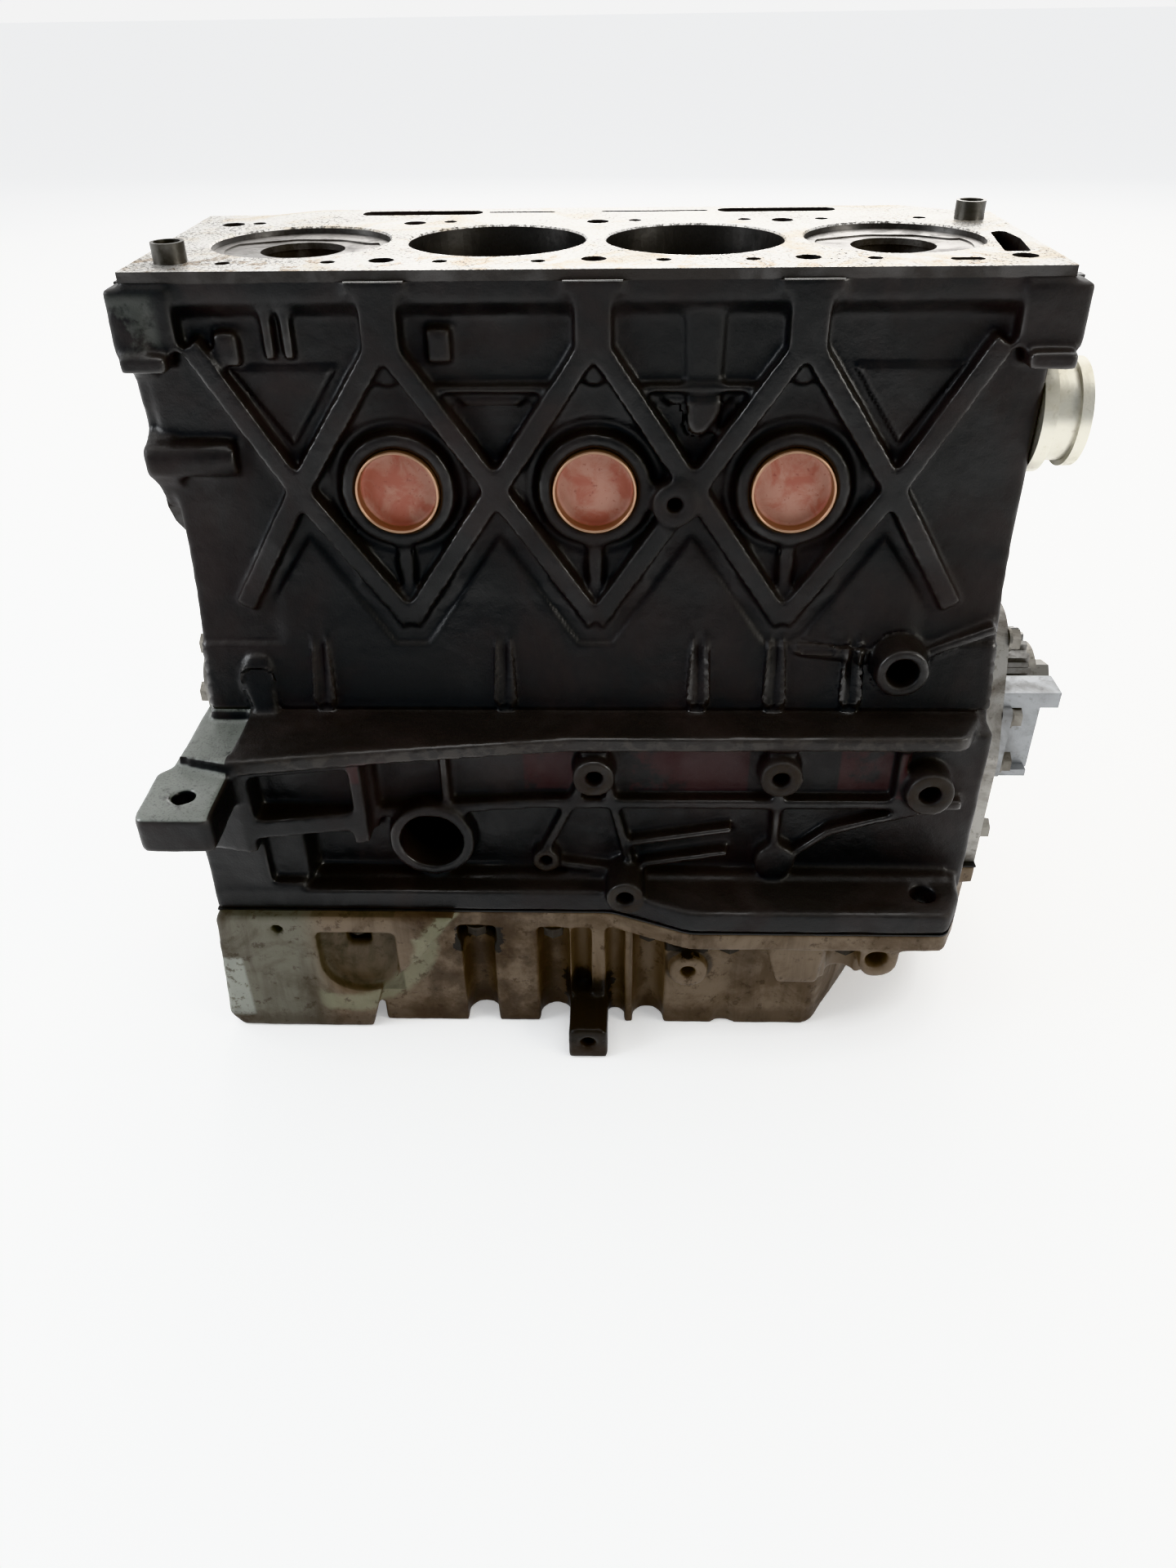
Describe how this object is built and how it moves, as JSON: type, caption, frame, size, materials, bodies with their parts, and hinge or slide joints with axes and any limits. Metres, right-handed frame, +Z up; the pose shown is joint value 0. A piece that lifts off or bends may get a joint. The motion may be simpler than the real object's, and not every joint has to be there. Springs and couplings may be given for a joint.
{
  "type": "engine block",
  "caption": "Inline diesel cylinder block with diamond-ribbed side wall, pistons, crank train, cast alloy sump and timing end pieces.",
  "frame": {"origin": "middle of the head deck, on the web between the two middle cylinders", "axes": "+Z up out of the deck, +X along the crank towards the timing end, -Y is the diamond-ribbed side"},
  "size_m": [0.454, 0.276, 0.393],
  "materials": {
    "block_iron": "rough cast, oily",
    "cap_iron": "rough cast",
    "plug_steel": "copper-coloured, dull",
    "bolt_steel": "dark plated",
    "dowel_steel": "turned",
    "bearing_metal": "smooth",
    "sump_alloy": "cast, stained",
    "cover_alloy": "cast",
    "bracket_alloy": "cast, grey",
    "pump_alloy": "machined",
    "piston_alloy": "carbon-stained",
    "ring_iron": "ground",
    "crank_steel": "cast with ground journals",
    "rod_steel": "forged",
    "pin_steel": "ground",
    "sprocket_steel": "sintered",
    "seal_rubber": "moulded"
  },
  "bodies": {
    "block": {"cylinder_block": "block_iron", "core_plugs": "plug_steel", "deck_dowels": "dowel_steel", "main_cap_1": "cap_iron", "main_cap_2": "cap_iron", "main_cap_3": "cap_iron", "main_cap_4": "cap_iron", "main_cap_5": "cap_iron", "main_cap_bolts": "bolt_steel", "main_bearing_shells": "bearing_metal", "thrust_washers": "bearing_metal", "oil_sump": "sump_alloy", "sump_gasket": "seal_rubber", "sump_bolts": "bolt_steel", "drain_plug": "bolt_steel", "front_cover": "cover_alloy", "front_oil_seal": "seal_rubber", "cover_bolts": "bolt_steel", "rear_seal_carrier": "cover_alloy", "rear_oil_seal": "seal_rubber", "timing_bracket": "bracket_alloy", "coolant_pump_cover": "pump_alloy", "oil_pump": "cap_iron", "oil_pickup": "dowel_steel", "oil_pump_chain": "sprocket_steel", "piston_cooling_jets": "dowel_steel"},
    "crank": {"crankshaft": "crank_steel", "crank_sprocket": "sprocket_steel", "crank_bolt": "bolt_steel", "pump_drive_sprocket": "sprocket_steel"},
    "rod_1": {"connecting_rod_1": "rod_steel", "rod_cap_1": "rod_steel", "rod_cap_bolts_1": "bolt_steel", "rod_bearing_shells_1": "bearing_metal"},
    "piston_1": {"piston_1": "piston_alloy", "piston_rings_1": "ring_iron", "gudgeon_pin_1": "pin_steel"},
    "rod_2": {"connecting_rod_2": "rod_steel", "rod_cap_2": "rod_steel", "rod_cap_bolts_2": "bolt_steel", "rod_bearing_shells_2": "bearing_metal"},
    "piston_2": {"piston_2": "piston_alloy", "piston_rings_2": "ring_iron", "gudgeon_pin_2": "pin_steel"},
    "rod_3": {"connecting_rod_3": "rod_steel", "rod_cap_3": "rod_steel", "rod_cap_bolts_3": "bolt_steel", "rod_bearing_shells_3": "bearing_metal"},
    "piston_3": {"piston_3": "piston_alloy", "piston_rings_3": "ring_iron", "gudgeon_pin_3": "pin_steel"},
    "rod_4": {"connecting_rod_4": "rod_steel", "rod_cap_4": "rod_steel", "rod_cap_bolts_4": "bolt_steel", "rod_bearing_shells_4": "bearing_metal"},
    "piston_4": {"piston_4": "piston_alloy", "piston_rings_4": "ring_iron", "gudgeon_pin_4": "pin_steel"},
    "pump_rotor": {"pump_sprocket": "sprocket_steel"}
  },
  "joints": [
    {"name": "crank_spin", "type": "hinge", "parent": "block", "child": "crank", "pos_m": [0, 0, -0.2274], "axis": [1, 0, 0], "range_deg": [-38, 2]},
    {"name": "rod_1_swing", "type": "hinge", "parent": "crank", "child": "rod_1", "pos_m": [-0.1335, -0.01437, -0.18318], "axis": [1, 0, 0], "range_deg": [-2.71, 50.58]},
    {"name": "piston_1_rock", "type": "hinge", "parent": "rod_1", "child": "piston_1", "pos_m": [-0.1335, 0, -0.04492], "axis": [1, 0, 0], "range_deg": [-12.58, 0.71]},
    {"name": "rod_2_swing", "type": "hinge", "parent": "crank", "child": "rod_2", "pos_m": [-0.0445, 0.01437, -0.27162], "axis": [1, 0, 0], "range_deg": [-1.39, 25.52]},
    {"name": "piston_2_rock", "type": "hinge", "parent": "rod_2", "child": "piston_2", "pos_m": [-0.0445, 0, -0.13337], "axis": [1, 0, 0], "range_deg": [-0.71, 12.58]},
    {"name": "rod_3_swing", "type": "hinge", "parent": "crank", "child": "rod_3", "pos_m": [0.0445, 0.01437, -0.27162], "axis": [1, 0, 0], "range_deg": [-1.39, 25.52]},
    {"name": "piston_3_rock", "type": "hinge", "parent": "rod_3", "child": "piston_3", "pos_m": [0.0445, 0, -0.13337], "axis": [1, 0, 0], "range_deg": [-0.71, 12.58]},
    {"name": "rod_4_swing", "type": "hinge", "parent": "crank", "child": "rod_4", "pos_m": [0.1335, -0.01437, -0.18318], "axis": [1, 0, 0], "range_deg": [-2.71, 50.58]},
    {"name": "piston_4_rock", "type": "hinge", "parent": "rod_4", "child": "piston_4", "pos_m": [0.1335, 0, -0.04492], "axis": [1, 0, 0], "range_deg": [-12.58, 0.71]},
    {"name": "pump_spin", "type": "hinge", "parent": "block", "child": "pump_rotor", "pos_m": [0, 0, -0.305], "axis": [1, 0, 0], "range_deg": [-44.8, 2.4]}
  ],
  "couplings": [
    {"joint": "rod_1_swing", "follows": "crank_spin", "ratio": -1.3296},
    {"joint": "piston_1_rock", "follows": "crank_spin", "ratio": 0.32965},
    {"joint": "rod_2_swing", "follows": "crank_spin", "ratio": -0.67035},
    {"joint": "piston_2_rock", "follows": "crank_spin", "ratio": -0.32965},
    {"joint": "rod_3_swing", "follows": "crank_spin", "ratio": -0.67035},
    {"joint": "piston_3_rock", "follows": "crank_spin", "ratio": -0.32965},
    {"joint": "rod_4_swing", "follows": "crank_spin", "ratio": -1.3296},
    {"joint": "piston_4_rock", "follows": "crank_spin", "ratio": 0.32965},
    {"joint": "pump_spin", "follows": "crank_spin", "ratio": 1.1765}
  ]
}
